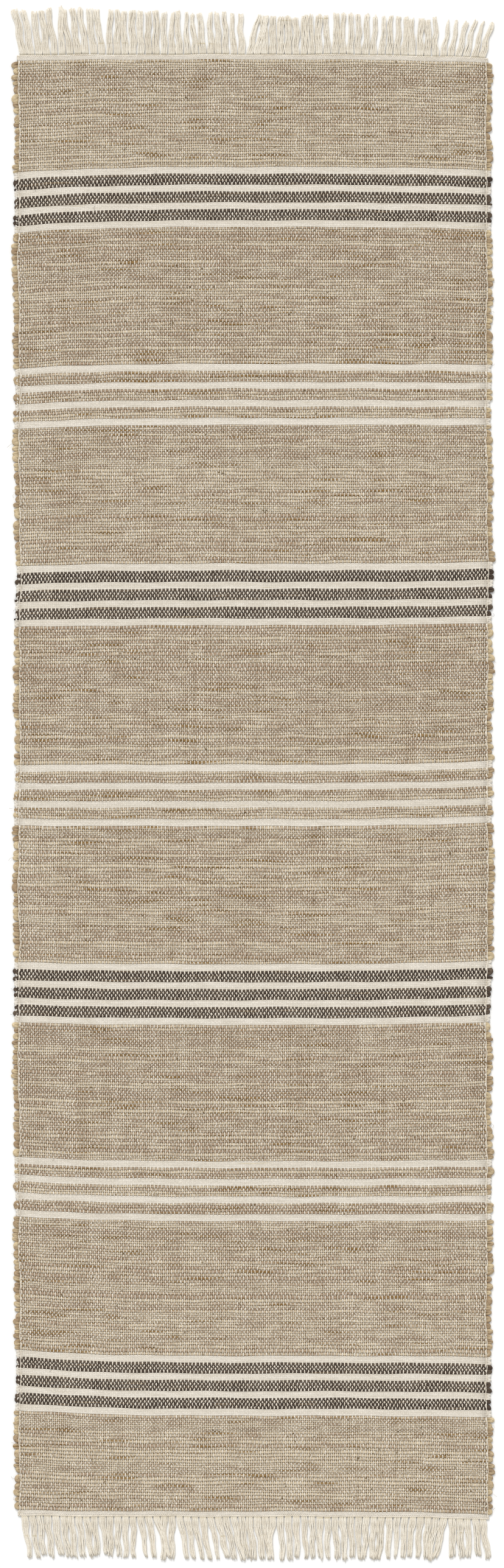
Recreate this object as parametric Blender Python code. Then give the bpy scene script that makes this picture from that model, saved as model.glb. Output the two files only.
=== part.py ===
"""Handwoven runner rug: a cotton warp with jute and cotton weft in stripes, and a knotted fringe.

The rug lies flat with its length along Y and its width along X. Its underside is at z = 0 and the
origin is under the middle of the whole rug, fringe included. The far end is at +Y, the near end at -Y.
A pick is one pass of weft yarn across the rug, so lengths along the rug are counted in picks.
Both ends fold in over the middle, each on one soft crease, and each fringe folds back on its end.
"""

import bmesh
import bpy
from mathutils import Vector

# ---- driving dimensions, in metres and picks ----
RUG_WIDTH = 0.755
JUTE_PICK = 0.0043
COTTON_PICK = 0.00275
FIELD_PICKS = 50            # each plain natural field between two stripe groups
FAR_FIELD_PICKS = 40        # the plain field next to the far fringe
NEAR_FIELD_PICKS = 35       # the plain field next to the near fringe
BAND_PICKS = 4              # each coloured band of a stripe group
COTTON_BAND_PICKS = 4       # each cream band of a stripe group
STRIPE_GROUPS = 7           # charcoal groups are the odd ones, natural groups the even ones
BANDS_PER_GROUP = 3         # coloured bands, each with a cream band on both sides

JUTE_THICKNESS = 0.0046
COTTON_THICKNESS = 0.0034
WARP_THICKNESS = 0.0014
CLEARANCE = 0.0003          # between pieces that touch in the cloth

SELVEDGE_CORD_WIDTH = 0.006     # the bundled warp ends along each long edge
EDGE_TURN = 0.0016              # weft that turns round a selvedge cord
CARRIED_YARN = 0.0022           # weft carried along the edge from one band to the next

HEADING_LENGTH = 0.0053
TWINED_EDGE_LENGTH = 0.0030
TWINED_EDGE_THICKNESS = 0.0040

FRINGE_LENGTH = 0.068
FRINGE_THICKNESS = 0.0026
FRINGE_ROOT = 0.004             # where the tassels still run together
TASSEL_PITCH = 0.0122
TASSEL_ROOT_WIDTH = 0.0088
TASSEL_TIP_WIDTH = 0.0062
TASSEL_LEAN = 0.0012            # sideways, every second tassel the other way

FOLD_FROM_STRIPE = 0.030        # from the stripe group inside a fold to its crease
FOLD_HALF_GAP = 0.0024          # from the cloth's upper face up to the crease's axis

# ---- sizes that follow ----
HALF_WIDTH = RUG_WIDTH / 2
MID_PLANE = JUTE_THICKNESS / 2
BAND_LENGTH = BAND_PICKS * JUTE_PICK
COTTON_BAND_LENGTH = COTTON_BAND_PICKS * COTTON_PICK
GROUP_LENGTH = BANDS_PER_GROUP * BAND_LENGTH + (BANDS_PER_GROUP + 1) * COTTON_BAND_LENGTH
FIELD_LENGTHS = (
    [FAR_FIELD_PICKS * JUTE_PICK]
    + [FIELD_PICKS * JUTE_PICK] * (STRIPE_GROUPS - 1)
    + [NEAR_FIELD_PICKS * JUTE_PICK]
)
END_LENGTH = HEADING_LENGTH + TWINED_EDGE_LENGTH
WOVEN_LENGTH = sum(FIELD_LENGTHS) + STRIPE_GROUPS * GROUP_LENGTH + 2 * END_LENGTH
CHANNEL_HALF_WIDTH = HALF_WIDTH - CARRIED_YARN - CLEARANCE - EDGE_TURN
CHANNEL_THICKNESS = WARP_THICKNESS + 2 * CLEARANCE
CORD_OUTER = CHANNEL_HALF_WIDTH - CLEARANCE
CORD_INNER = CORD_OUTER - SELVEDGE_CORD_WIDTH
WARP_HALF_WIDTH = CORD_INNER - CLEARANCE
HALF_GAP = CLEARANCE / 2
FOLD_AXIS_Z = JUTE_THICKNESS + FOLD_HALF_GAP    # leaves room for a folded fringe in between
FRINGE_AXIS_Z = JUTE_THICKNESS + CLEARANCE


def linear(channel):
    return channel / 12.92 if channel <= 0.04045 else ((channel + 0.055) / 1.055) ** 2.4


def material(name, hex_colour, roughness):
    made = bpy.data.materials.new(name)
    made.use_nodes = True
    shader = made.node_tree.nodes["Principled BSDF"]
    channels = [int(hex_colour[i:i + 2], 16) / 255 for i in (0, 2, 4)]
    shader.inputs["Base Color"].default_value = [linear(c) for c in channels] + [1.0]
    shader.inputs["Roughness"].default_value = roughness
    shader.inputs["Metallic"].default_value = 0.0
    return made


def clear_scene():
    for obj in list(bpy.data.objects):
        bpy.data.objects.remove(obj, do_unlink=True)


def add_body(name, origin, parent=None):
    """An empty on the joint's axis, which carries the pieces of one moving body."""
    empty = bpy.data.objects.new(name, None)
    bpy.context.scene.collection.objects.link(empty)
    empty.parent = parent
    origin = Vector(origin)
    empty.location = origin - (Vector(parent["axis_point"]) if parent else Vector())
    empty["axis_point"] = origin
    return empty


def add_piece(name, bm, body, finish):
    """Makes the object from a bmesh in rug coordinates, and hangs it on its body's empty."""
    bmesh.ops.translate(bm, verts=bm.verts, vec=-Vector(body["axis_point"]))
    bmesh.ops.recalc_face_normals(bm, faces=bm.faces)
    mesh = bpy.data.meshes.new(name)
    bm.to_mesh(mesh)
    bm.free()
    mesh.materials.append(finish)
    piece = bpy.data.objects.new(name, mesh)
    bpy.context.scene.collection.objects.link(piece)
    piece.parent = body
    return piece


def slab(outline, thickness, middle=MID_PLANE):
    """A bmesh of a flat outline in X and Y, extruded evenly to both sides of the given height."""
    bm = bmesh.new()
    corners = [bm.verts.new((x, y, middle - thickness / 2)) for x, y in outline]
    face = bm.faces.new(corners)
    top = bmesh.ops.extrude_face_region(bm, geom=[face])["geom"]
    raised = [item for item in top if isinstance(item, bmesh.types.BMVert)]
    bmesh.ops.translate(bm, verts=raised, vec=(0, 0, thickness))
    return bm


def rectangle(left, right, low, high):
    return [(left, low), (right, low), (right, high), (left, high)]


def thread_on_warp(piece, channel):
    """Cuts the way that the warp takes through a piece of weft."""
    cut = piece.modifiers.new("warp_channel", "BOOLEAN")
    cut.operation = "DIFFERENCE"
    cut.object = channel


def weft(name, low, high, thickness, body, finish, channel):
    """Plain weft across the full width, from low to high along the rug."""
    outline = rectangle(-HALF_WIDTH, HALF_WIDTH, low + HALF_GAP, high - HALF_GAP)
    piece = add_piece(name, slab(outline, thickness), body, finish)
    thread_on_warp(piece, channel)


def warp_panel(name, low, high, body, finish):
    """The warp sheet and the two selvedge cords of one stretch of the rug."""
    spans = {
        "warp": (-WARP_HALF_WIDTH, WARP_HALF_WIDTH),
        "selvedge_cord_left": (-CORD_OUTER, -CORD_INNER),
        "selvedge_cord_right": (CORD_INNER, CORD_OUTER),
    }
    for part, (left, right) in spans.items():
        outline = rectangle(left, right, low, high)
        add_piece(f"{name}_{part}", slab(outline, WARP_THICKNESS), body, finish)


def bands_of(group_top):
    """The cream bands and the coloured bands of a group, each as (low, high), from its far edge down."""
    cream, coloured = [], []
    edge = group_top
    for index in range(2 * BANDS_PER_GROUP + 1):
        rows, length = (coloured, BAND_LENGTH) if index % 2 else (cream, COTTON_BAND_LENGTH)
        rows.append((edge - length + HALF_GAP, edge - HALF_GAP))
        edge -= length
    return cream, coloured


def comb(bands, spine_x, spine_inner_x, far_x, outer_far_x):
    """Outline of bands joined by the yarn that is carried from one to the next along one edge.

    The bands run from the carried yarn to far_x, the first and last one on to outer_far_x.
    """
    points = []
    for index, (low, high) in enumerate(bands):
        end = outer_far_x if index in (0, len(bands) - 1) else far_x
        start = spine_x if index == 0 else spine_inner_x
        points += [(start, high), (end, high), (end, low)]
        points.append((spine_x if index == len(bands) - 1 else spine_inner_x, low))
    return points


def stripe_group(number, group_top, body, cotton, coloured_finish, colour_name, channel):
    """One group: the cream weft is carried up the left edge, the coloured weft up the right edge."""
    cream, coloured = bands_of(group_top)
    past_carried = HALF_WIDTH - CARRIED_YARN - CLEARANCE
    cream_outline = comb(
        cream, -HALF_WIDTH, -HALF_WIDTH + CARRIED_YARN, past_carried, HALF_WIDTH
    )
    piece = add_piece(
        f"stripe_{number}_cotton_weft", slab(cream_outline, COTTON_THICKNESS), body, cotton
    )
    thread_on_warp(piece, channel)
    coloured_outline = comb(
        coloured, HALF_WIDTH, HALF_WIDTH - CARRIED_YARN, -past_carried, -past_carried
    )
    piece = add_piece(
        f"stripe_{number}_{colour_name}_weft",
        slab(coloured_outline, JUTE_THICKNESS), body, coloured_finish,
    )
    thread_on_warp(piece, channel)


def fringe(name, edge_y, outward, body, finish):
    """Tassels that run together at the woven end; outward is +1 at the far end, -1 at the near."""
    count = round(2 * WARP_HALF_WIDTH / TASSEL_PITCH)
    pitch = 2 * WARP_HALF_WIDTH / count
    start = edge_y + outward * CLEARANCE
    root = start + outward * FRINGE_ROOT
    tip = edge_y + outward * FRINGE_LENGTH
    left = -WARP_HALF_WIDTH + (pitch - TASSEL_ROOT_WIDTH) / 2
    points = [(-left, start), (left, start)]
    for index in range(count):
        centre = -WARP_HALF_WIDTH + (index + 0.5) * pitch
        lean = TASSEL_LEAN if index % 2 else -TASSEL_LEAN
        points += [
            (centre - TASSEL_ROOT_WIDTH / 2, root),
            (centre + lean - TASSEL_TIP_WIDTH / 2, tip),
            (centre + lean + TASSEL_TIP_WIDTH / 2, tip),
            (centre + TASSEL_ROOT_WIDTH / 2, root),
        ]
    add_piece(name, slab(points, FRINGE_THICKNESS), body, finish)


def woven_end(end, outward, flap, cotton, channel):
    """The cotton heading and the twined edge that close the weaving at one end."""
    edge = outward * WOVEN_LENGTH / 2
    inner = edge - outward * TWINED_EDGE_LENGTH
    start = inner - outward * HEADING_LENGTH
    low, high = sorted((start, inner))
    weft(f"{end}_heading", low, high, COTTON_THICKNESS, flap, cotton, channel)
    low, high = sorted((inner, edge + outward * HALF_GAP))
    weft(f"{end}_twined_edge", low, high, TWINED_EDGE_THICKNESS, flap, cotton, channel)


def woven_places():
    """The far edge of each plain field and of each stripe group along the rug, far end first."""
    field_tops, group_tops = [], []
    edge = WOVEN_LENGTH / 2 - END_LENGTH
    for number, length in enumerate(FIELD_LENGTHS):
        field_tops.append(edge)
        edge -= length
        if number < STRIPE_GROUPS:
            group_tops.append(edge)
            edge -= GROUP_LENGTH
    return field_tops, group_tops


def warp_channel():
    """The cutter for the flat way through all the weft, which the warp fills."""
    channel = bpy.data.objects.new("warp_channel", bpy.data.meshes.new("warp_channel"))
    bpy.context.scene.collection.objects.link(channel)
    past_ends = WOVEN_LENGTH / 2 + FRINGE_LENGTH
    outline = rectangle(-CHANNEL_HALF_WIDTH, CHANNEL_HALF_WIDTH, -past_ends, past_ends)
    cutter = slab(outline, CHANNEL_THICKNESS)
    bmesh.ops.recalc_face_normals(cutter, faces=cutter.faces)
    cutter.to_mesh(channel.data)
    cutter.free()
    channel.hide_render = True
    channel.display_type = "WIRE"
    return channel


def build():
    clear_scene()
    natural = material("natural_jute_yarn", "C3AE8D", 0.85)
    charcoal = material("charcoal_jute_yarn", "463D35", 0.85)
    cotton = material("cream_cotton_yarn", "E2DBCB", 0.80)

    channel = warp_channel()
    field_tops, group_tops = woven_places()
    far_fold = group_tops[1] + FOLD_FROM_STRIPE
    near_fold = group_tops[-2] - GROUP_LENGTH - FOLD_FROM_STRIPE
    half_length = WOVEN_LENGTH / 2

    middle = add_body("middle_body", (0, 0, 0))
    far_flap = add_body("far_flap_body", (0, far_fold, FOLD_AXIS_Z), middle)
    near_flap = add_body("near_flap_body", (0, near_fold, FOLD_AXIS_Z), middle)
    far_fringe = add_body("far_fringe_body", (0, half_length, FRINGE_AXIS_Z), far_flap)
    near_fringe = add_body("near_fringe_body", (0, -half_length, FRINGE_AXIS_Z), near_flap)

    panels = [
        ("far_flap", far_flap, far_fold + HALF_GAP, half_length),
        ("middle", middle, near_fold + HALF_GAP, far_fold - HALF_GAP),
        ("near_flap", near_flap, -half_length, near_fold - HALF_GAP),
    ]
    for name, body, low, high in panels:
        warp_panel(name, low, high, body, cotton)

    for number, (top, length) in enumerate(zip(field_tops, FIELD_LENGTHS), start=1):
        for panel, body, panel_low, panel_high in panels:
            low = max(top - length, panel_low - HALF_GAP)
            high = min(top, panel_high + HALF_GAP)
            if low < high:
                name = f"field_{number}_{panel}_weft"
                weft(name, low, high, JUTE_THICKNESS, body, natural, channel)

    for number, top in enumerate(group_tops, start=1):
        body = far_flap if top > far_fold else near_flap if top < near_fold else middle
        dark = number % 2 == 1
        stripe_group(number, top, body, cotton, charcoal if dark else natural,
                     "charcoal" if dark else "natural", channel)

    woven_end("far", 1, far_flap, cotton, channel)
    woven_end("near", -1, near_flap, cotton, channel)
    fringe("far_fringe", half_length, 1, far_fringe, cotton)
    fringe("near_fringe", -half_length, -1, near_fringe, cotton)


build()
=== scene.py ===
import math

import bpy
import numpy as np
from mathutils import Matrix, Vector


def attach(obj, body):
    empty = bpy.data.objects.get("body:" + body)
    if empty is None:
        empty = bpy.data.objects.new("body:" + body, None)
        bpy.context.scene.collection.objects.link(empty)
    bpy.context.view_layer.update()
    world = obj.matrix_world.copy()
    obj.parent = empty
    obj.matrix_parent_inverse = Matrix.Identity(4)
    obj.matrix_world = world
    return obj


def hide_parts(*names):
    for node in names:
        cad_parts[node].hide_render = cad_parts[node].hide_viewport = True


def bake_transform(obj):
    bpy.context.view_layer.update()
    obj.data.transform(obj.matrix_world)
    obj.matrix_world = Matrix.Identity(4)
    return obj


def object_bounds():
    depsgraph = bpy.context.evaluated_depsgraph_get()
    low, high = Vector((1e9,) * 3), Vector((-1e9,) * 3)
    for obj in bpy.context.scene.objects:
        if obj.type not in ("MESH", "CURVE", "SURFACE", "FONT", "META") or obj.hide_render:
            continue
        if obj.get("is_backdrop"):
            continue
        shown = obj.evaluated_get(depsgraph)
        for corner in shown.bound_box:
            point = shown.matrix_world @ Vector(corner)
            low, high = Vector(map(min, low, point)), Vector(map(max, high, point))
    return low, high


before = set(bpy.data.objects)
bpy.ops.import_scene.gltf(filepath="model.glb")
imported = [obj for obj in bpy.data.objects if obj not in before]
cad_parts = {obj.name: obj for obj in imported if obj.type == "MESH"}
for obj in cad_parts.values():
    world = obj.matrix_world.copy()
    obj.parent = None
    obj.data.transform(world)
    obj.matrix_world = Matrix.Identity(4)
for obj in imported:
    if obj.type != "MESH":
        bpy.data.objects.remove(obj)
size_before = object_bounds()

# A flat-woven runner rug lying on a pale floor: natural jute weft on a cream cotton warp, seven
# groups of narrow stripes, puffy weft loops along both edges and a cut fringe at each end.
# Metres. +Y is the far end, and the weft is described from the far end to the near one.
MID = 0.0023  # height of the middle of the cloth above the floor
CLOTH_EDGE = 0.3676  # where the weft sheets stop, just past the outermost warp ends
EDGE_END = 0.3672  # middle of the thick doubled end along each edge
EDGE_STEP = 0.0045  # from one bend of it to the next
CARRIED_X = -0.3712  # middle of the cotton weft carried up the left edge
WARP_ENDS = 245
WARP_HALF = 0.3668  # from the middle to the edge of the outermost warp end
END_PITCH = 2 * WARP_HALF / WARP_ENDS  # 3 mm from one warp end to the next
JUTE_PICK = 0.0043  # one line of jute weft, edge to edge
COTTON_PICK = 0.00275
HEADING_PICK = 0.001325
JUTE_HALF = 0.0016  # half the thickness of the weft sheets
COTTON_HALF = 0.0012
JUTE_FLOAT = 0.0017  # how high a warp end passes over the weft, from the middle of the cloth
COTTON_FLOAT = 0.00125
HEADING_FAR = 1.14615
TWINE_Y = 1.1478  # middle of the twined rows at the ends
TWINE_HALF = 0.3698  # from the middle of a twined row to its tip
TWINE_TURN = 0.0061  # one turn of a twined row
TWINE_STEP = 0.0023  # from one twined row to the next
FRINGE_BEND = (1.1450, 1.1533)  # the span given where the fringe meets the flap
FAR_CREASE = 0.68825
NEAR_CREASE = -0.70975
CREASE_REACH = 0.008  # the span given with a crease reaches this far to each side of it
FRINGE_HALF = 0.366
TASSELS = 60
STRAY_EVERY = 0.018  # a stray fibre for this much of a jute band
COLUMNS = 40  # steps across a weft sheet


# ---------------------------------------------------------------- the weave's layout


def lay_bands():
    """The bands of weft from the far end, in segments: a heading, a plain field or a stripe group.
    A band's spread is how uneven its picks are and swell how much their lines wander, as shares of
    a pick, and tone is how much deeper than usual its yarn is dyed."""
    segments = []
    place = {"y": HEADING_FAR, "pick": 0}

    def band(yarn, picks, pitch, spread, swell, tone=0.0):
        far = place["y"]
        place["y"] -= picks * pitch
        first = place["pick"]
        place["pick"] += picks
        size = dict(picks=picks, far=far, near=place["y"], first=first)
        return dict(yarn=yarn, spread=spread, swell=swell, tone=tone, **size)

    def field(name, picks, tone=0.0):
        segments.append((name, [band("natural", picks, JUTE_PICK, 0.3, 0.16, tone)]))

    segments.append(("far_heading", [band("cotton", 4, HEADING_PICK, 0.1, 0.1)]))
    field("field_1", 40, -0.3)
    for group in range(1, 8):
        colour = "charcoal" if group % 2 else "natural"
        bands = [band("cotton", 4, COTTON_PICK, 0.06, 0.1)]
        for _ in range(3):
            bands.append(band(colour, 4, JUTE_PICK, 0.16, 0.24))
            bands.append(band("cotton", 4, COTTON_PICK, 0.06, 0.1))
        segments.append((f"stripe_{group}", bands))
        if group < 7:
            field(f"field_{group + 1}", 50)
    field("field_8", 35, -0.3)
    segments.append(("near_heading", [band("cotton", 4, HEADING_PICK, 0.1, 0.1)]))
    return segments


SEGMENTS = lay_bands()


def swells(count, along, length, seed):
    """count smooth random lines along the given places, about -1 to 1, with swells of that length."""
    draw = np.random.default_rng(seed)
    along = np.atleast_1d(along)
    lines = np.zeros((count, len(along)))
    for share, part in ((0.6, 1.0), (0.4, 0.41)):
        phase = draw.uniform(0, 2 * np.pi, (count, 1))
        size = length * part * draw.uniform(0.7, 1.4, (count, 1))
        lines += share * np.sin(2 * np.pi * along / size + phase)
    return lines


def pick_edges(band, x):
    """Where each pick of the band starts and ends at the places x: picks + 1 lines of y."""
    count = band["picks"]
    seed = 100 + band["first"]
    draw = np.random.default_rng(seed)
    width = np.exp(draw.normal(0, band["spread"], (count, 1))).clip(0.5, 1.5) + np.zeros(len(x))
    line = np.vstack([np.zeros(len(x)), np.cumsum(width, axis=0)])
    line *= count / line[-1]
    line[1:-1] += 0.6 * band["swell"] * swells(count - 1, x, 0.09, seed + 1)
    line[1:-1] += 0.4 * band["swell"] * swells(count - 1, x, 0.05, seed + 2)
    return band["far"] - (band["far"] - band["near"]) * line / count


def settle(points):
    """The cloth as it lies: its weft lines bow by up to 9 mm towards the edges and 6 mm along the
    middle, and its edges wander in and out by 2 mm."""
    x, y, z = points[..., 0], points[..., 1], points[..., 2]
    reach = (np.abs(x) / 0.339) ** 3
    left = -0.0085 * y * (1 - (y / 1.16) ** 10)
    right = 0.0045 * np.cos(np.pi * (y + 0.12) / 1.3)
    bow = np.where(x < 0, left, right) * reach
    bow += 0.006 * np.sin(np.pi * (y - 0.2) / 1.1) * (1 - (y / 1.2) ** 12)
    side = (np.abs(x) / 0.37) ** 2
    edge_left = 0.0017 * np.sin(y / 0.031) * np.sin(y / 0.083 + 1) + 0.001 * np.sin(y / 0.19)
    edge_right = 0.0016 * np.sin(y / 0.037 + 2) * np.sin(y / 0.071) + 0.001 * np.sin(y / 0.23 + 1)
    bow += 0.0008 * np.sin(x / 0.021 + 3 * np.sin(y / 0.03)) * np.sin(y / 0.023 + x / 0.06)
    sway = np.where(x < 0, edge_left, edge_right) * side
    sway = sway + 0.0005 * np.sin(y / 0.013 + np.sin(x / 0.02) * 2) * np.sin(x / 0.031 + y / 0.05)
    return np.stack([x + sway, y + bow, z], axis=-1)


# ---------------------------------------------------------------- meshes


def grid_sheet(top, bottom, **values):
    """A closed sheet from matching grids of points, rows from far to near, columns left to right."""
    rows, cols = top.shape[:2]
    number = np.arange(rows * cols).reshape(rows, cols)
    under = number + rows * cols

    def quads(a, b, c, d):
        return np.stack([a.ravel(), b.ravel(), c.ravel(), d.ravel()], axis=1)

    def block(n):
        return n[:-1, :-1], n[1:, :-1], n[1:, 1:], n[:-1, 1:]

    faces = [quads(*block(number)), quads(*block(under)[::-1])]
    faces.append(quads(number[:-1, 0], under[:-1, 0], under[1:, 0], number[1:, 0]))
    faces.append(quads(number[1:, -1], under[1:, -1], under[:-1, -1], number[:-1, -1]))
    faces.append(quads(number[0, 1:], under[0, 1:], under[0, :-1], number[0, :-1]))
    faces.append(quads(number[-1, :-1], under[-1, :-1], under[-1, 1:], number[-1, 1:]))
    points = np.concatenate([top.reshape(-1, 3), bottom.reshape(-1, 3)])
    twice = {key: np.concatenate([value.ravel()] * 2) for key, value in values.items()}
    return dict(points=points, quads=np.concatenate(faces), tris=np.zeros((0, 3), int), **twice)


def tubes(paths, section, **values):
    """Closed tubes along paths (N, S, 3). section is (K, 2) or (N or 1, S or 1, K, 2): its points
    to the side of the path and up from it, in order round it from the underside over the top."""
    count, steps = paths.shape[:2]
    section = np.asarray(section, float)
    section = np.broadcast_to(section, (count, steps) + section.shape[-2:])
    sides = section.shape[2]
    way = np.gradient(paths, axis=1)
    across = np.stack([way[..., 1], -way[..., 0]], axis=-1)
    across /= np.maximum(np.linalg.norm(across, axis=-1, keepdims=True), 1e-9)
    ring = np.zeros((count, steps, sides, 3))
    ring[..., :2] = across[:, :, None, :] * section[..., :1]
    ring[..., 2] = section[..., 1]
    ring += paths[:, :, None, :]
    number = np.arange(count * steps * sides).reshape(count, steps, sides)
    a, b = number[:, :-1], number[:, 1:]
    quads = np.stack([a, b, np.roll(b, -1, axis=2), np.roll(a, -1, axis=2)], axis=-1)
    fan = np.stack([np.zeros(sides - 2, int), np.arange(1, sides - 1), np.arange(2, sides)], axis=1)
    first, last = number[:, 0][:, fan], number[:, -1][:, fan[:, ::-1]]
    tris = np.concatenate([first.reshape(-1, 3), last.reshape(-1, 3)])
    spread = {}
    for key, value in values.items():
        value = np.asarray(value, float)
        value = value.reshape(value.shape + (1,) * (3 - value.ndim))
        spread[key] = np.broadcast_to(value, (count, steps, sides)).ravel()
    return dict(points=ring.reshape(-1, 3), quads=quads.reshape(-1, 4), tris=tris, **spread)


def build(name, material, parts, body):
    """One object from several closed parts, with its own flat map for baking. It rides its body, or
    stays where it is when it is given the two bodies on either side of a crease.
    """
    offsets = np.cumsum([0] + [len(p["points"]) for p in parts])
    points = np.concatenate([p["points"] for p in parts])
    quads = np.concatenate([p["quads"] + o for p, o in zip(parts, offsets)])
    tris = np.concatenate([p["tris"] + o for p, o in zip(parts, offsets)])
    corners = np.concatenate([quads.ravel(), tris.ravel()]).astype(np.int32)
    sizes = np.concatenate([np.full(len(quads), 4), np.full(len(tris), 3)]).astype(np.int32)
    mesh = bpy.data.meshes.new(name)
    mesh.vertices.add(len(points))
    mesh.vertices.foreach_set("co", points.astype(np.float32).ravel())
    mesh.loops.add(len(corners))
    mesh.loops.foreach_set("vertex_index", corners)
    mesh.polygons.add(len(sizes))
    mesh.polygons.foreach_set("loop_start", (np.cumsum(sizes) - sizes).astype(np.int32))
    mesh.polygons.foreach_set("use_smooth", np.ones(len(sizes), bool))
    mesh.update(calc_edges=True)
    for key in ("tone", "groove", "across", "beat"):
        value = np.concatenate([p.get(key, np.zeros(len(p["points"]))) for p in parts])
        layer = mesh.attributes.new(key, "FLOAT", "POINT")
        layer.data.foreach_set("value", value.astype(np.float32))
    low, high = points[:, :2].min(0), points[:, :2].max(0)
    flat = ((points[:, :2] - low) / (high - low)).astype(np.float32)
    mesh.uv_layers.new(name="OFBake").data.foreach_set("uv", flat[corners].ravel())
    mesh.materials.append(material)
    obj = bpy.data.objects.new(name, mesh)
    bpy.context.scene.collection.objects.link(obj)
    if isinstance(body, str):
        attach(obj, body)
    else:
        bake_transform(obj)
    return obj


# ---------------------------------------------------------------- materials


def linear(code):
    """A linear RGBA colour from an sRGB hex code."""
    parts = [int(code[i : i + 2], 16) / 255 for i in (1, 3, 5)]
    return tuple(c / 12.92 if c <= 0.04045 else ((c + 0.055) / 1.055) ** 2.4 for c in parts) + (1,)


def add(tree, kind, inputs, result=0, **settings):
    """One shader node with its settings. An input that is a socket is linked and any other is set.
    It gives the node's output."""
    node = tree.nodes.new(kind)
    for key, value in settings.items():
        setattr(node, key, value)
    for key, value in inputs.items():
        if isinstance(value, bpy.types.NodeSocket):
            tree.links.new(value, node.inputs[key])
        else:
            node.inputs[key].default_value = value
    return node.outputs[result]


def grain(tree, across, along, detail=2.0):
    """Noise whose spots are about this long along X and along Y, in metres."""
    place = add(tree, "ShaderNodeTexCoord", {}, "Object")
    scale = (1 / across, 1 / along, 400)
    sized = add(tree, "ShaderNodeMapping", {"Vector": place, "Scale": scale})
    return add(tree, "ShaderNodeTexNoise", {"Vector": sized, "Scale": 1.0, "Detail": detail}, "Fac")


def wave(tree, across, period, start, turn=0.0):
    """1 where across is start plus whole periods, and 0 halfway between."""
    place = add(tree, "ShaderNodeMath", {0: across, 1: start}, operation="SUBTRACT")
    place = add(tree, "ShaderNodeMath", {0: place, 1: 2 * math.pi / period}, operation="MULTIPLY")
    place = add(tree, "ShaderNodeMath", {0: place, 1: turn}, operation="ADD")
    swing = add(tree, "ShaderNodeMath", {0: place}, operation="COSINE")
    return add(tree, "ShaderNodeMath", {0: swing, 1: 0.5, 2: 0.5}, operation="MULTIPLY_ADD")


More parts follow.
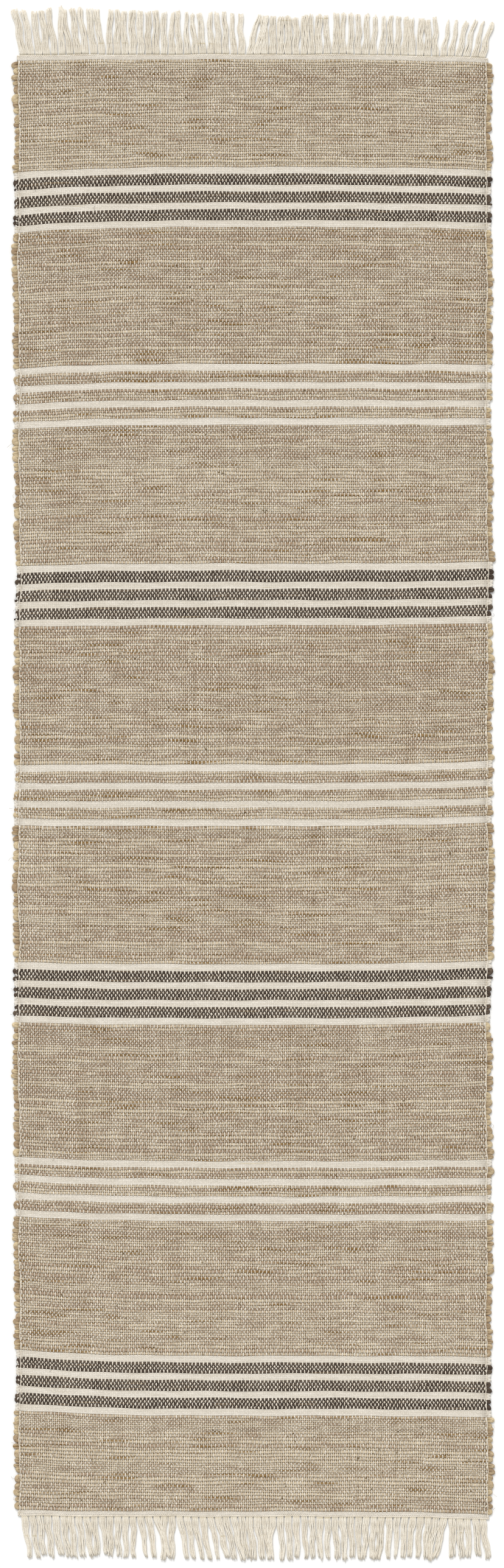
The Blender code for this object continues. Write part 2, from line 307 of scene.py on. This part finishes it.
def yarn(name, colours, fibre, flecks, dip_and_shade=0.0, shade_dots=0.0, twist_shade=0.0, uneven=0.0):
    """A matt spun yarn. Its colours are pale, deep, flecks and the painted shade in its grooves,
    which its knots take too, and fibre is how long and how wide its fibres show. flecks is how rare
    the flecks are, dip_and_shade how deep a weft dips where it goes under a warp end and how much
    shade is painted there, shade_dots how much its painted groove shade keeps to dots in the gaps
    between the ends, twist_shade how dark the shade painted in the lines round a turn at the edge is,
    and uneven how much it changes from one crossing to the next."""
    pale, deep, fleck, shade = (linear(code) for code in colours)
    material = bpy.data.materials.new(name)
    material.use_nodes = True
    tree = material.node_tree
    surface = tree.nodes["Principled BSDF"]
    tone, groove, across, beat = (
        add(tree, "ShaderNodeAttribute", {}, "Fac", attribute_name=key)
        for key in ("tone", "groove", "across", "beat")
    )

    # The dye: pale to deep in lengths of 30 mm.
    patch = grain(tree, 0.03, 0.006)
    patch = add(tree, "ShaderNodeMapRange", {0: patch, 1: 0.3, 2: 0.7, 3: -0.55, 4: 0.55})
    depth = add(tree, "ShaderNodeMath", {0: tone, 1: patch}, operation="ADD", use_clamp=True)
    colour = add(tree, "ShaderNodeMix", {0: depth, 6: pale, 7: deep}, 2, data_type="RGBA")
    # Slubs of darker fibre 70 mm long and a pick wide, and small dark knots in them.
    slubs = grain(tree, 0.07, 0.0045, 1.0)
    ends = {1: flecks - 0.03, 2: flecks + 0.06, 3: 0.0, 4: 0.85}
    slubs = add(tree, "ShaderNodeMapRange", {0: slubs, **ends})
    colour = add(tree, "ShaderNodeMix", {0: slubs, 6: colour, 7: fleck}, 2, data_type="RGBA")
    knots = grain(tree, 0.008, 0.005, 1.0)
    ends = {1: flecks + 0.06, 2: flecks + 0.14, 3: 0.0, 4: 0.85}
    knots = add(tree, "ShaderNodeMapRange", {0: knots, **ends})
    colour = add(tree, "ShaderNodeMix", {0: knots, 6: colour, 7: shade}, 2, data_type="RGBA")

    # The fibres, drawn a few times coarser than they are so that they show.
    fine = grain(tree, *fibre)
    light = add(tree, "ShaderNodeMapRange", {0: fine, 1: 0.3, 2: 0.7, 3: 0.84, 4: 1.1})
    height = add(tree, "ShaderNodeMath", {0: fine, 1: 0.00012}, operation="MULTIPLY")
    if uneven:  # thick and thin places 6 mm long, the length of a crossing
        lumps = grain(tree, 0.006, 0.0035, 1.0)
        ends = {1: 0.32, 2: 0.68, 3: 1 - uneven, 4: 1 + 0.7 * uneven}
        lumps = add(tree, "ShaderNodeMapRange", {0: lumps, **ends})
        light = add(tree, "ShaderNodeMath", {0: light, 1: lumps}, operation="MULTIPLY")
    if shade_dots:  # every second warp end passes over a pick, and the others over the next pick
        # Painted shade: the weft is darkened where it dips under a warp end; the dip is also a real
        # bump.
        shift = add(tree, "ShaderNodeMath", {0: beat, 1: math.pi}, operation="MULTIPLY")
        dip = wave(tree, across, 2 * END_PITCH, 0.5 * END_PITCH - WARP_HALF, shift)
        dip = add(tree, "ShaderNodeMath", {0: dip, 1: 1.5}, operation="POWER")
        dip = add(tree, "ShaderNodeMath", {0: dip, 1: dip_and_shade}, operation="MULTIPLY")
        dark = add(tree, "ShaderNodeMath", {0: dip, 1: 0.5}, operation="MULTIPLY")
        dark = add(tree, "ShaderNodeMath", {0: 1.0, 1: dark}, operation="SUBTRACT")
        light = add(tree, "ShaderNodeMath", {0: light, 1: dark}, operation="MULTIPLY")
        # Painted shade: the groove's painted shade gathers into dots in the gaps between the ends.
        gap = wave(tree, across, END_PITCH, -WARP_HALF)
        gap = add(tree, "ShaderNodeMapRange", {0: gap, 1: 0.3, 2: 0.8, 3: 1 - shade_dots, 4: 1.0})
        groove = add(tree, "ShaderNodeMath", {0: groove, 1: gap}, operation="MULTIPLY")
        deeper = add(tree, "ShaderNodeMath", {0: dip, 1: 0.0006}, operation="MULTIPLY")
        height = add(tree, "ShaderNodeMath", {0: height, 1: deeper}, operation="SUBTRACT")
    if twist_shade:  # six lines round the yarn, broken where its fibres are
        line = wave(tree, across, 1 / 6, 0.0)
        line = add(tree, "ShaderNodeMath", {0: line, 1: 3.0}, operation="POWER")
        broken = add(tree, "ShaderNodeMapRange", {0: fine, 1: 0.35, 2: 0.6, 3: 0.0, 4: 1.0})
        line = add(tree, "ShaderNodeMath", {0: line, 1: broken}, operation="MULTIPLY")
        # Painted shade in the lines between the plies, over a real bump.
        dark = add(tree, "ShaderNodeMath", {0: line, 1: twist_shade}, operation="MULTIPLY")
        dark = add(tree, "ShaderNodeMath", {0: 1.0, 1: dark}, operation="SUBTRACT")
        light = add(tree, "ShaderNodeMath", {0: light, 1: dark}, operation="MULTIPLY")
        deeper = add(tree, "ShaderNodeMath", {0: line, 1: 0.0003}, operation="MULTIPLY")
        height = add(tree, "ShaderNodeMath", {0: height, 1: deeper}, operation="SUBTRACT")

    grey = add(tree, "ShaderNodeCombineColor", {0: light, 1: light, 2: light})
    lit = {0: 1.0, 6: colour, 7: grey}
    colour = add(tree, "ShaderNodeMix", lit, 2, data_type="RGBA", blend_type="MULTIPLY")
    # Painted shade: the colour darkens towards the shade colour by groove, in the grooves between
    # picks, where warp ends dive, at the fringe roots and where the turns meet the cloth.
    colour = add(tree, "ShaderNodeMix", {0: groove, 6: colour, 7: shade}, 2, data_type="RGBA")
    tree.links.new(colour, surface.inputs["Base Color"])
    surface.inputs["Roughness"].default_value = 0.92
    surface.inputs["Specular IOR Level"].default_value = 0.2
    bump = add(tree, "ShaderNodeBump", {"Strength": 0.8, "Distance": 1.0, "Height": height})
    tree.links.new(bump, surface.inputs["Normal"])
    return material


# Fibres that lie along X, along Y, or in short bits as in a soft cotton weft.
ALONG_X = (0.0035, 0.0006)
ALONG_Y = (0.0006, 0.002)
SPECKLE = (0.0014, 0.0012)

# Hand-spun jute, undyed: dry straw to a pinkish brown that changes from pick to pick, with golden
# brown slubs. Its turns at the edges are as pale, but their twist shows, as real relief and as
# painted shade in the lines between the plies.
JUTE = ("#D9C9AE", "#AE9780", "#86632B", "#5A4728")
TURNED_JUTE = ("#D2BF9B", "#A58D70") + JUTE[2:]
natural_jute = yarn("natural_jute", JUTE, ALONG_X, 0.635, dip_and_shade=0.75, shade_dots=0.85, uneven=0.13)
natural_jute_turns = yarn("natural_jute_turns", TURNED_JUTE, ALONG_X, 0.72, twist_shade=0.22, uneven=0.12)

# Jute dyed charcoal: a warm brown-black with a few fibres that took less dye.
CHARCOAL = ("#695B4D", "#483C33", "#7C6954", "#261E18")
charcoal_jute = yarn("charcoal_jute", CHARCOAL, ALONG_X, 0.66, dip_and_shade=0.5, shade_dots=0.6, uneven=0.2)
charcoal_jute_turns = yarn("charcoal_jute_turns", CHARCOAL, ALONG_X, 0.7, twist_shade=0.3, uneven=0.15)

# Soft unbleached cotton weft, beaten down close: nearly smooth cream with tiny grey-brown specks, and
# grey-brown painted shade in its grooves and in dots between the warp ends.
COTTON = ("#E3DCD0", "#DAD2C4", "#CDC1A6", "#A2957C")
band_cotton = yarn("band_cotton", COTTON, SPECKLE, 0.74, dip_and_shade=0.1, shade_dots=0.85, uneven=0.04)
cotton_turns = yarn("cotton_turns", COTTON, SPECKLE, 0.76, twist_shade=0.12)

# Unbleached cotton warp, hard spun, a little brighter than the weft, and the same ends as fringe.
WARP = ("#E9E1D3", "#DACFBD", "#CDBF9F", "#A3946E")
warp_cotton = yarn("warp_cotton", WARP, ALONG_Y, 0.76, uneven=0.08)
FRINGE = ("#EAE3D5", "#E0D7C6", "#C6B793", "#93834F")
fringe_cotton = yarn("fringe_cotton", FRINGE, ALONG_Y, 0.74)

# Matt white-painted floor.
pale_floor = bpy.data.materials.new("pale_floor")
pale_floor.use_nodes = True
paint = pale_floor.node_tree.nodes["Principled BSDF"].inputs
paint["Base Color"].default_value = linear("#F4F4F3")
paint["Roughness"].default_value = 1.0


# ---------------------------------------------------------------- the weft

# Across one pick: how far along it, how high as a share of its half thickness, and how much painted
# shade it gets, most in the groove between two picks.
JUTE_RIB = ((0.0, 0.2, 1.0), (0.17, 0.76, 0.75), (0.5, 1.0, 0.0), (0.83, 0.76, 0.75))
COTTON_RIB = ((0.0, 0.65, 0.4), (0.3, 0.93, 0.15), (0.7, 0.93, 0.15))


def weft_sheet(band):
    """One band of weft as a closed ribbed sheet, a rib for each pick."""
    x = np.linspace(-CLOTH_EDGE, CLOTH_EDGE, COLUMNS + 1)
    edges = pick_edges(band, x)
    draw = np.random.default_rng(500 + band["first"])
    jute = band["yarn"] != "cotton"
    pitch = (band["far"] - band["near"]) / band["picks"]
    full = JUTE_HALF if jute else COTTON_HALF
    tones = draw.uniform(0.0, 1.0, band["picks"]) + band["tone"]
    swell = swells(band["picks"], x, 0.09, 700 + band["first"])
    y, height, groove, tone, beat = [], [], [], [], []
    for k in range(band["picks"]):
        far, near = edges[k], edges[k + 1]
        thick = full * ((far - near) / pitch).clip(0.5, 1.3) ** 0.4
        for t, high, deep in JUTE_RIB if jute else COTTON_RIB:
            if k == 0 and t == 0:  # beaten tight against the band before it
                # The first groove of a band gets less painted shade.
                deep *= 0.35
            y.append(far + (near - far) * t)
            height.append(high * thick)
            groove.append(np.full(len(x), deep))
            tone.append(tones[k] + 0.4 * swell[k])
            beat.append(np.full(len(x), (band["first"] + k) % 2))
    y.append(edges[-1])
    height.append(height[0])
    groove.append(groove[0])
    tone.append(tone[-1])
    beat.append(beat[-1])
    y, height, groove, tone, beat = (np.array(v) for v in (y, height, groove, tone, beat))
    across = np.broadcast_to(x, y.shape)
    top = settle(np.stack([across, y, MID + height], axis=-1))
    bottom = settle(np.stack([across, y, MID - height], axis=-1))
    return grid_sheet(top, bottom, tone=tone, groove=groove, across=across, beat=beat)


# ---------------------------------------------------------------- the warp

# Where a warp end over one pick is given: how far along the pick, how high, half its width. Over
# the charcoal yarn the ends spread into ovals.
FLOATS = {
    "natural": ((0.2, JUTE_FLOAT, 0.00112), (0.8, JUTE_FLOAT, 0.00112)),
    "charcoal": (
        (0.1, 0.0014, 0.00085),
        (0.35, JUTE_FLOAT, 0.0014),
        (0.65, JUTE_FLOAT, 0.0014),
        (0.9, 0.0014, 0.00085),
    ),
}


def warp_threads(bands, parity):
    """Every second warp end through these bands, over one pick and under the next."""
    number = np.arange(parity, WARP_ENDS, 2)
    x = -WARP_HALF + (number + 0.5) * END_PITCH
    draw = np.random.default_rng(900 + parity + 2 * bands[0]["first"])
    # groove: painted shade where an end dives into the cloth at each end of the segment.
    y, z, half, groove = [pick_edges(bands[0], x)[0]], [MID], [0.0007], [0.6]
    for band in bands:
        edges = pick_edges(band, x)
        jute = band["yarn"] != "cotton"
        for k in range(band["picks"]):
            far, near = edges[k], edges[k + 1]
            over = (band["first"] + k + parity) % 2 == 0
            if jute and over:
                floats = FLOATS[band["yarn"]]
                for n, (t, lift, wide) in enumerate(floats):
                    if k == 0 and n == 0:  # a float next to a cream band runs on into it
                        t = -0.1 if len(bands) > 1 else 0.05
                    if k == band["picks"] - 1 and n == len(floats) - 1:
                        t = 1.1 if len(bands) > 1 else 0.95
                    y.append(far + (near - far) * t)
                    z.append(MID + lift)
                    half.append(wide)
                    groove.append(0.0)
            else:
                y.append(0.5 * (far + near))
                lift = JUTE_FLOAT if jute else COTTON_FLOAT
                z.append(MID + (lift if over else -lift * 1.1))
                half.append(0.0013 if jute else 0.0009)
                # A little painted shade on the floats under the cloth.
                groove.append(0.0 if over else 0.1)
    y.append(pick_edges(bands[-1], x)[-1])
    z.append(MID)
    half.append(0.0007)
    groove.append(0.6)
    y = np.array(y).T
    steps = y.shape[1]
    # Each end jogs a quarter of a millimetre from pick to pick, and leans with its neighbours.
    x = x[:, None] + draw.normal(0, 0.00026, (len(number), steps))
    leans = swells(len(number), np.linspace(-1.2, 1.2, 1200), 0.06, 41 + parity)
    x += 0.0002 * np.take_along_axis(leans, ((y + 1.2) / 2.4 * 1199).astype(int), axis=1)
    paths = settle(np.stack([x, y, np.broadcast_to(z, y.shape)], axis=-1))
    # Some ends are thicker, and each float is a little wider or narrower than the last.
    half = np.array(half)[None, :, None] * draw.uniform(0.82, 1.18, (len(number), 1, 1))
    half = half * draw.uniform(0.8, 1.15, (len(number), steps, 1))
    # A low three-sided section, half a millimetre high, is enough for so thin a yarn.
    up = np.broadcast_to([-0.00035, -0.00035, 0.0005], half.shape[:2] + (3,))
    shape = np.stack([half * np.array([-1, 1, 0]), up], axis=-1)
    tone = 0.6 * draw.uniform(0, 1, (len(number), 1))
    tone = tone + 0.4 * draw.uniform(0, 1, (len(number), steps))
    return tubes(paths, shape, tone=tone, groove=np.array(groove)[None, :])


def round_section(across, up, sides):
    """The points of an oval yarn section, counted from the underside round over the top."""
    turn = (np.arange(sides) + 0.5) * 2 * np.pi / sides - 0.5 * np.pi
    return np.stack([across * np.cos(turn), up * np.sin(turn)], axis=-1)


def edge_threads(bands):
    """The thick doubled end along each edge of the cloth, above it and below it."""
    far, near = bands[0]["far"], bands[-1]["near"]
    y = np.linspace(far, near, max(6, int((far - near) / EDGE_STEP)))
    parts = []
    for side in (-1, 1):
        for level in (0.0012, -0.0012):
            wander = 0.0005 * np.sin(y / 0.0029 + level * 900) + 0.0003 * np.sin(y / 0.0087)
            x = side * (EDGE_END + wander)
            z = MID + level + 0.0002 * np.sin(y / 0.0031)
            path = settle(np.stack([x, y, z], axis=-1))[None]
            parts.append(tubes(path, round_section(0.0008, 0.0007, 6), tone=0.5, groove=0.0))
    return parts


# ---------------------------------------------------------------- the weft's turns at the edges


def carried_cotton(band):
    """The cotton weft carried past a coloured band, in and out of that band's turns on the left."""
    y = np.linspace(band["far"] + 0.003, band["near"] - 0.003, 18)
    turn = (band["far"] - y) / (band["far"] - band["near"]) * 4 * np.pi
    x = CARRIED_X - 0.0009 * np.cos(turn + band["first"])
    z = MID + 0.0008 + 0.0005 * np.cos(turn)
    path = settle(np.stack([x, y, z], axis=-1))[None]
    return tubes(path, round_section(0.0014, 0.0009, 6), tone=0.4, groove=0.0)


# How far the turns of each yarn stand out past the outermost warp.
REACH = {"natural": (0.0078, 0.0122), "charcoal": (0.007, 0.0105), "cotton": (0.0076, 0.0082)}


def edge_loops(bands, yarn_name):
    """The puffy turns of the weft past both edges, for the bands of one yarn. Two picks, or now and
    then three, share a turn."""
    jute = yarn_name != "cotton"
    parts = []
    for band in bands:
        if band["yarn"] != yarn_name:
            continue
        draw = np.random.default_rng(3000 + band["first"])
        for side in (-1, 1):
            edges = pick_edges(band, np.array([side * CLOTH_EDGE]))[:, 0]
            k = 0
            while k < band["picks"]:
                shared = draw.choice([2, 2, 2, 3] if jute else [2, 2])
                take = min(int(shared), band["picks"] - k)
                far, near = edges[k], edges[k + take]
                k += take
                middle, tall = 0.5 * (far + near), far - near
                reach = draw.uniform(*REACH[yarn_name])
                tall *= 1.0 if jute else 1.25
                thick = tall * 0.28
                turn = np.linspace(-0.5 * np.pi, 0.5 * np.pi, 10)
                out = np.cos(turn).clip(0, 1) ** 0.6
                x = side * (WARP_HALF + (reach - thick) * out)
                skew = draw.normal(0, 0.12)
                y = middle - side * (0.5 * tall - 0.85 * thick) * np.sin(turn) + skew * tall * out
                z = np.full(len(turn), MID + draw.uniform(-0.0002, 0.0001))
                path = settle(np.stack([x, y, z], axis=-1))[None]
                fat = (0.95 + 0.15 * out * draw.uniform(0.6, 1.4))[None, :, None, None]
                section = round_section(thick, 0.0019 if jute else 0.0014, 8) * fat
                section[..., 1] = section[..., 1].clip(-0.0019, 0.0020)
                lengths = np.linalg.norm(np.diff(path[0], axis=0), axis=1)
                walk = np.concatenate([[0], np.cumsum(lengths)])
                ply = walk[None, :, None] * draw.uniform(40, 90) + np.arange(8)[None, None, :] / 8
                tone = draw.uniform(0, 1)
                # Painted shade on each turn, deepest where it goes back into the cloth.
                shade = (0.4 * (1 - out) ** 2)[None, :]
                parts.append(tubes(path, section, tone=tone, groove=shade, across=ply))
    if yarn_name == "cotton":
        parts += [carried_cotton(band) for band in bands if band["yarn"] != "cotton"]
    return parts


# ---------------------------------------------------------------- the ends


def twined_row(end, inward=0.0, wind=1):
    """A two-strand twined row that locks the weft, along one end, wound one way or the other."""
    x = np.linspace(-TWINE_HALF, TWINE_HALF, 600)
    parts = []
    for phase in (0, np.pi):
        turn = wind * x / TWINE_TURN * 2 * np.pi + phase
        y = end * (TWINE_Y - 0.0001 - inward) + 0.0006 * np.cos(turn)
        z = MID + 0.0006 * np.sin(turn)
        path = settle(np.stack([x, y, z], axis=-1))[None]
        parts.append(tubes(path, round_section(0.0011, 0.0010, 5), tone=0.4, groove=0.0))
    return parts


def fringe(end):
    """The cut tassels of one end: plied strands that clump, lean and stray."""
    draw = np.random.default_rng(60 + end)
    s = np.linspace(0, 1, 16)
    paths, tones = [], []
    for k in range(TASSELS):
        root = -FRINGE_HALF + 2 * FRINGE_HALF * (k + 0.5) / TASSELS
        u = root / FRINGE_HALF
        if draw.random() < 0.4 or k == 0:  # the next clump starts, whose tassels lean alike
            lean, run = draw.normal(0, 0.0052), draw.normal(0, 0.0018)
            drawn_in = draw.uniform(0.3, 0.85)
        # The far fringe sweeps out at both corners and is longer at the left. The near one leans to
        # the right.
        if end > 0:
            drift = -0.016 * math.exp(-((u + 1) / 0.25)) + 0.014 * max(0, (u - 0.72) / 0.28)
            length = 0.0610 + 0.011 / (1 + math.exp((u + 0.35) * 9)) + run + draw.normal(0, 0.0007)
        else:
            drift = 0.009 * math.cos((u + 0.35) * 2.2) + 0.01 * max(0, (u - 0.8) / 0.2)
            length = 0.0640 + 0.003 * math.cos(u * 2) + run + draw.normal(0, 0.0009)
        tip = root + lean + drift + draw.normal(0, 0.0008)
        count = int(draw.integers(6, 9))
        sway = 0.0011 * np.sin(s * draw.uniform(5, 10) + draw.uniform(0, 6))
        for n in range(count):
            place = (n + 0.5) / count - 0.5
            start_x = root + place * 0.0098 + draw.normal(0, 0.0002)
            end_x = tip + place * 0.0122 * drawn_in + draw.normal(0, 0.0006)
            belly = 0.0012 * place * np.sin(np.pi * np.minimum(1, s * 3))
            stray = 0.00045 * np.sin(s * draw.uniform(9, 20) + draw.uniform(0, 6))
            x = start_x + (end_x - start_x) * s**1.15 + belly + (sway + stray) * np.minimum(1, s * 4)
            y = end * (TWINE_Y + 0.0002 + (length + draw.normal(0, 0.0013)) * s)
            low = 0.0015 + 0.0011 * (n % 2) + draw.uniform(0, 0.0002)
            sag = 0.0002 * np.sin(s * 7 + draw.uniform(0, 6)) * s
            z = MID + (low - MID) * np.minimum(1, s * 6) + sag
            foot = settle(np.array([[start_x, end * TWINE_Y, 0.0]]))[0]
            x = x + foot[0] - start_x
            y = y + foot[1] - end * TWINE_Y
            paths.append(np.stack([x, y, np.maximum(z, 0.0015)], axis=-1))
            tones.append(draw.uniform(0, 1))
    thick = np.where(s < 0.03, 0.8, 1.0) * (1 + 0.08 * np.sin(s * 60))
    section = round_section(0.00108, 0.00095, 5) * thick[None, :, None, None]
    # Painted shade on the roots, where the strands leave the twined row.
    groove = np.where(s < 0.05, 0.45, 0.0)[None, :]
    return tubes(np.array(paths), section, tone=np.array(tones)[:, None], groove=groove)


def stray_fibres(bands, yarn_name):
    """Fine fibres that stand out of the weft, mostly at the edges and where a coloured band stops."""
    draw = np.random.default_rng(8000 + bands[0]["first"])
    paths = []
    s = np.linspace(0, 1, 7)
    for band in bands:
        if band["yarn"] != yarn_name or yarn_name == "cotton":
            continue
        for _ in range(int(round((band["far"] - band["near"]) / STRAY_EVERY)) + 3):
            edge = draw.random() < 0.4
            if edge:
                x0 = draw.choice([-1, 1]) * draw.uniform(0.371, 0.377)
            else:
                x0 = draw.uniform(-0.36, 0.36)
            y0 = draw.uniform(band["near"], band["far"])
            way = draw.uniform(0, 2 * np.pi)
            curl = draw.normal(0, 2.2)
            length = draw.uniform(0.004, 0.011)
            turn = way + curl * s
            x = x0 + np.cumsum(np.cos(turn)) * length / 7
            y = y0 + np.cumsum(np.sin(turn)) * length / 7
            z = MID + (0.0 if edge else 0.0013) + 0.0009 * np.sin(np.pi * s)
            paths.append(settle(np.stack([x, y, z], axis=-1)))
    if not paths:
        return []
    # The stray fibres get a little painted shade all along.
    return [tubes(np.array(paths), round_section(0.00016, 0.00014, 3), tone=0.8, groove=0.15)]


# ---------------------------------------------------------------- the pieces

COTTON_SLOT = "cream_cotton_yarn"
JUTE_SLOT = "natural_jute_yarn"
CHARCOAL_SLOT = "charcoal_jute_yarn"
LOOKS = {
    "natural": (natural_jute, natural_jute_turns, JUTE_SLOT),
    "charcoal": (charcoal_jute, charcoal_jute_turns, CHARCOAL_SLOT),
    "cotton": (band_cotton, cotton_turns, COTTON_SLOT),
}

bpy.ops.object.select_all(action="DESELECT")
bpy.ops.mesh.primitive_plane_add(size=12)
floor = bpy.context.object
floor.name = "floor"
floor.data.materials.append(pale_floor)
floor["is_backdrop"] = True


def body_of(name, bands):
    """The body a segment rides, or, where a crease crosses it, the two bodies on either side and
    where the crease's span starts and stops.
    """
    far, near = bands[0]["far"], bands[-1]["near"]
    if near < FAR_CREASE < far:
        start, stop = FAR_CREASE - CREASE_REACH, FAR_CREASE + CREASE_REACH
        return ("middle_body", "far_flap_body", (0, start, 0), (0, stop, 0))
    if near < NEAR_CREASE < far:
        start, stop = NEAR_CREASE + CREASE_REACH, NEAR_CREASE - CREASE_REACH
        return ("middle_body", "near_flap_body", (0, start, 0), (0, stop, 0))
    if near >= FAR_CREASE:
        return "far_flap_body"
    return "near_flap_body" if far <= NEAR_CREASE else "middle_body"


WARP_NODES = {
    "far_flap_body": "far_flap_warp",
    "middle_body": "middle_warp",
    "near_flap_body": "near_flap_warp",
}
sheets = []  # each weft sheet, its bands, and the pieces that go with it


def weave_sheet(name, label, bands, yarn_name, body):
    """The weft of one yarn in a segment, with its turns at the edges, or for a heading two twined
    rows instead.
    """
    look, turn_look, slot = LOOKS[yarn_name]
    chosen = [b for b in bands if b["yarn"] == yarn_name]
    parts = [weft_sheet(b) for b in chosen]
    if name.endswith("heading"):
        end = 1 if name.startswith("far") else -1
        parts += twined_row(end, TWINE_STEP, -1) + twined_row(end, 2 * TWINE_STEP, 1)
    sheet = build(f"{label}_picks", look, parts, body)
    if name.startswith("field"):
        rows = [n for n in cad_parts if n.startswith(name + "_") and n.endswith("_weft")]
        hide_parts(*rows)
    else:
        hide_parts(label)
    if not name.endswith("heading"):
        turns = edge_loops(bands, yarn_name) + stray_fibres(bands, yarn_name)
        loops = build(f"{label}_turns", turn_look, turns, body)
        sheets.append((sheet, chosen, [loops]))


for name, bands in SEGMENTS:
    body = body_of(name, bands)
    if name.startswith("stripe"):
        colour = bands[1]["yarn"]
        weave_sheet(name, f"{name}_{colour}_weft", bands, colour, body)
        weave_sheet(name, f"{name}_cotton_weft", bands, "cotton", body)
    else:
        label = name if name.endswith("heading") else f"{name}_weft"
        weave_sheet(name, label, bands, bands[0]["yarn"], body)
    parts = [warp_threads(bands, 0), warp_threads(bands, 1)] + edge_threads(bands)
    threads = build(f"{name}_warp_ends", warp_cotton, parts, body)
    bodies = [body] if isinstance(body, str) else body[:2]
    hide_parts(*[WARP_NODES[b] for b in bodies])
    if not name.endswith("heading"):
        sheets[-1][2].append(threads)

for end, which in ((1, "far"), (-1, "near")):
    start, stop = end * FRINGE_BEND[0], end * FRINGE_BEND[1]
    bend = (f"{which}_flap_body", f"{which}_fringe_body", (0, start, 0), (0, stop, 0))
    row = build(f"{which}_twined_strands", warp_cotton, twined_row(end), bend)
    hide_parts(f"{which}_twined_edge")
    strands = build(f"{which}_fringe_strands", fringe_cotton, [fringe(end)], bend)
    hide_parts(f"{which}_fringe")
    heading = [bpy.data.objects[f"{which}_heading_{part}"] for part in ("picks", "warp_ends")]
    sheets[0 if end > 0 else -1][2].extend([row, strands] + heading)

for cord in [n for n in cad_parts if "selvedge_cord" in n]:
    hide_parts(cord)

# ---------------------------------------------------------------- light and camera

scene = bpy.context.scene
scene.view_settings.view_transform = "Standard"
world = bpy.data.worlds.new("soft_studio")
world.use_nodes = True
world.node_tree.nodes["Background"].inputs["Color"].default_value = (1, 1, 1, 1)
world.node_tree.nodes["Background"].inputs["Strength"].default_value = 0.75
scene.world = world

lamp = bpy.data.lights.new("window_light", "SUN")
lamp.angle = 0.5
lamp.energy = 2.0
lamp_object = bpy.data.objects.new("window_light", lamp)
lamp_object.rotation_euler = (math.radians(-48), math.radians(-14), 0)
scene.collection.objects.link(lamp_object)
lamp_object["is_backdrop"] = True

lens = bpy.data.cameras.new("straight_down")
lens.sensor_width = 36
lens.lens = 36 * 6 / 2.465
camera = bpy.data.objects.new("straight_down", lens)
camera.location = (-0.0019, 0.0038, 6)
scene.collection.objects.link(camera)
scene.camera = camera

size_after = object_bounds()


def plain(value):
    """Vectors as plain lists, for writing."""
    if isinstance(value, dict):
        return {key: plain(item) for key, item in value.items()}
    if hasattr(value, "__len__") and not isinstance(value, str):
        return [plain(item) for item in value]
    return value if isinstance(value, str) else round(float(value), 5)


{"cad": plain(size_before), "visual": plain(size_after)}
